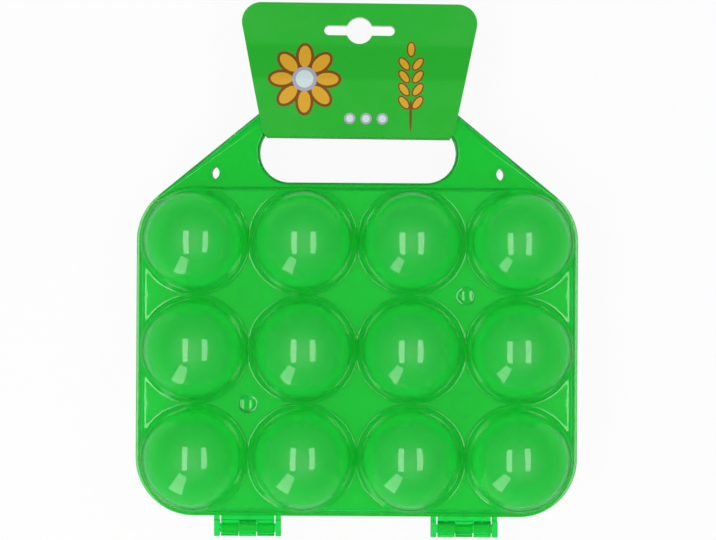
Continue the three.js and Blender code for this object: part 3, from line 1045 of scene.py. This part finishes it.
def front_print():
    drawn = flower(*FRONT_FLOWER) + grain_ear(*GRAIN_EAR)
    for i in range(DOTS):
        drawn += eye(DOT_PLACE[0] + DOT_STEP * i, DOT_PLACE[1], DOT_RADIUS, DOT_EYE)
    return drawn


def card_panel(name, drawn, slot_shift, materials):
    """One panel of the card: triangles that follow the print, bent round the bar."""
    outline = card_outline()
    slot = slot_outline(slot_shift)
    flat, loops = [], []
    for loop in [outline, slot] + [points for points, _ in drawn]:
        loops.append(list(range(len(flat), len(flat) + len(loop))))
        flat += [Vector(p) for p in loop]
    low = min(y for _, y in outline)
    levels = list(np.linspace(low, CARD_BEND, FOLD_LEVELS)[1:])
    levels += list(np.arange(CARD_BEND + MM, CARD_HEIGHT, CARD_LEVEL))
    half = CARD_LOW_HALF_WIDTH + CARD_HEIGHT
    cross_lines = []
    for level in levels:
        cross_lines.append((len(flat), len(flat) + 1))
        flat += [Vector((-half, level)), Vector((half, level))]
    points, _, triangles, _, _, origins = delaunay_2d_cdt(
        flat, cross_lines, loops, 0, MERGED, True)
    kept, inks = [], []
    for triangle, origin in zip(triangles, origins):
        if 0 not in origin or 1 in origin:
            continue
        over = [i - 2 for i in origin if i > 1]
        kept.append(list(triangle))
        inks.append(drawn[max(over)][1] if over else GREEN_INK)
    form = bmesh.new()
    outer = [form.verts.new((p.x, *card_section(p.y, 0))) for p in points]
    inner = [form.verts.new((p.x, *card_section(p.y, CARD))) for p in points]
    edges = {}
    for triangle, ink in zip(kept, inks):
        face = form.faces.new([outer[i] for i in triangle])
        face.material_index = ink
        back = form.faces.new([inner[i] for i in reversed(triangle)])
        back.material_index = PAPER
        for i in range(3):
            a, b = triangle[i], triangle[(i + 1) % 3]
            edges[(a, b)] = True
    for a, b in list(edges):
        if (b, a) not in edges:
            side = form.faces.new([outer[b], outer[a], inner[a], inner[b]])
            side.material_index = PAPER
    bmesh.ops.delete(form, geom=[v for v in form.verts if not v.link_faces], context="VERTS")
    bmesh.ops.recalc_face_normals(form, faces=form.faces)
    mesh = bpy.data.meshes.new(name)
    form.to_mesh(mesh)
    form.free()
    for material in materials:
        mesh.materials.append(material)
    return linked(name, mesh)


# Surroundings

def highest(nodes, links, first, second):
    larger = nodes.new("ShaderNodeMath")
    larger.operation = "MAXIMUM"
    links.new(first, larger.inputs[0])
    links.new(second, larger.inputs[1])
    return larger.outputs[0]


def add_world():
    """White for camera and transmission rays. Gloss shows a dim backdrop and a darker ceiling."""
    world = bpy.data.worlds.new("studio")
    world.use_nodes = True
    nodes, links = world.node_tree.nodes, world.node_tree.links
    background = nodes["Background"]
    path = nodes.new("ShaderNodeLightPath").outputs
    direction = nodes.new("ShaderNodeSeparateXYZ")
    links.new(nodes.new("ShaderNodeTexCoord").outputs["Generated"], direction.inputs[0])
    ceiling = (math.sin(BACKDROP_TOP), CEILING_LEVEL)
    wall = (math.sin(BACKDROP_TOP - BACKDROP_FADE), GLOSS_LEVEL)
    backdrop = ranged(nodes, links, direction.outputs["Z"], ceiling, wall)
    level = nodes.new("ShaderNodeMix")
    level.inputs["A"].default_value = WORLD_LEVEL
    links.new(path["Is Glossy Ray"], level.inputs["Factor"])
    links.new(backdrop, level.inputs["B"])
    white = highest(nodes, links, path["Is Camera Ray"], path["Is Transmission Ray"])
    links.new(highest(nodes, links, level.outputs["Result"], white), background.inputs["Strength"])
    background.inputs["Color"].default_value = (1, 1, 1, 1)
    scene.world = world


def add_floor():
    """Floor that glows like the world, with a small lit share that shows the object's shadow."""
    mesh = bpy.data.meshes.new("floor")
    sides = ((-1, -1), (1, -1), (1, 1), (-1, 1))
    mesh.from_pydata([(x * FLOOR_HALF, y * FLOOR_HALF, 0) for x, y in sides], [], [[0, 1, 2, 3]])
    floor = linked("floor", mesh)
    floor.location.z = -SKIN
    material, nodes, links, shader = new_material("floor_paint")
    shader.inputs["Base Color"].default_value = (*FLOOR_COLOUR, 1)
    shader.inputs["Roughness"].default_value = FLOOR_ROUGHNESS
    glow = nodes.new("ShaderNodeEmission")
    path = nodes.new("ShaderNodeLightPath").outputs
    white = highest(nodes, links, path["Is Camera Ray"], path["Is Transmission Ray"])
    links.new(against(nodes, links, "MAXIMUM", white, GLOSS_LEVEL), glow.inputs["Strength"])
    shown = highest(nodes, links, white, path["Is Glossy Ray"])
    share = against(nodes, links, "MULTIPLY", shown, 1 - SHADOW_SHARE)
    mix = nodes.new("ShaderNodeMixShader")
    links.new(share, mix.inputs["Fac"])
    links.new(shader.outputs[0], mix.inputs[1])
    links.new(glow.outputs[0], mix.inputs[2])
    links.new(mix.outputs[0], nodes["Material Output"].inputs["Surface"])
    mesh.materials.append(material)


def add_light(name, top, bottom, width, radiance):
    """Rectangular soft light along a line from top to bottom, turned towards the object."""
    along = top - bottom
    middle = (top + bottom) / 2
    data = bpy.data.lights.new(name, "AREA")
    data.shape = "RECTANGLE"
    data.size = width
    data.size_y = along.length
    data.energy = radiance * data.size * data.size_y * math.pi
    y = along.normalized()
    away = middle - Vector((0, TRAY_Y, PARTING_Z))
    z = (away - y * away.dot(y)).normalized()
    lamp = bpy.data.objects.new(name, data)
    turn = Matrix((y.cross(z), y, z)).transposed().to_4x4()
    lamp.matrix_world = Matrix.Translation(middle) @ turn
    lamp.visible_camera = False
    lamp.visible_transmission = False
    scene.collection.objects.link(lamp)


def add_lights():
    for name, (top, bottom, width, radiance) in LIGHTS.items():
        add_light(name, Vector(top) * MM, Vector(bottom) * MM, width * MM, radiance)


def add_camera():
    data = bpy.data.cameras.new("camera")
    data.sensor_width = CAMERA_SENSOR
    data.lens = data.sensor_width * CAMERA_DISTANCE / FRAME_WIDTH
    data.clip_start, data.clip_end = CAMERA_RANGE
    camera = bpy.data.objects.new("camera", data)
    camera.location = (CAMERA_X, CAMERA_Y, FRAME_PLANE + CAMERA_DISTANCE)
    camera.rotation_euler = (0, 0, CAMERA_ROLL)
    scene.collection.objects.link(camera)
    scene.camera = camera


# Assembly

plastic = plastic_material()
shell = half_shell()
shaded(shell)
shell.data.materials.clear()
shell.data.materials.append(plastic)
shell.name = "front_moulding"
shell.data.name = "moulding"
back = linked("back_moulding", shell.data)
for piece, place, node, body in (
    (shell, FRONT_PLACE, "front_shell", "lid"),
    (back, BACK_PLACE, "back_shell", "base"),
):
    piece.matrix_world = place
    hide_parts(node)
    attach(piece, body)

inks = [ink_material(name, *shades) for name, shades in INKS.items()]
card_place = FRONT_PLACE @ Matrix.Translation((0, BAR_BOTTOM - CARD_DROP, 0))
card_place = card_place @ Matrix.Rotation(-CARD_TILT, 4, "Z")
turned_back = Matrix.Rotation(math.pi, 4, "Y")
for name, node, body, drawn, shift, place in (
    ("front_card", "card_front_panel", "lid", front_print(), 0, card_place),
    ("back_card", "card_back_panel", "base", flower(*BACK_FLOWER), BACK_SLOT_SHIFT,
     card_place @ turned_back),
):
    panel = card_panel(name, drawn, shift, inks)
    panel.matrix_world = place
    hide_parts(node)
    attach(panel, body)

add_world()
add_floor()
add_lights()
add_camera()
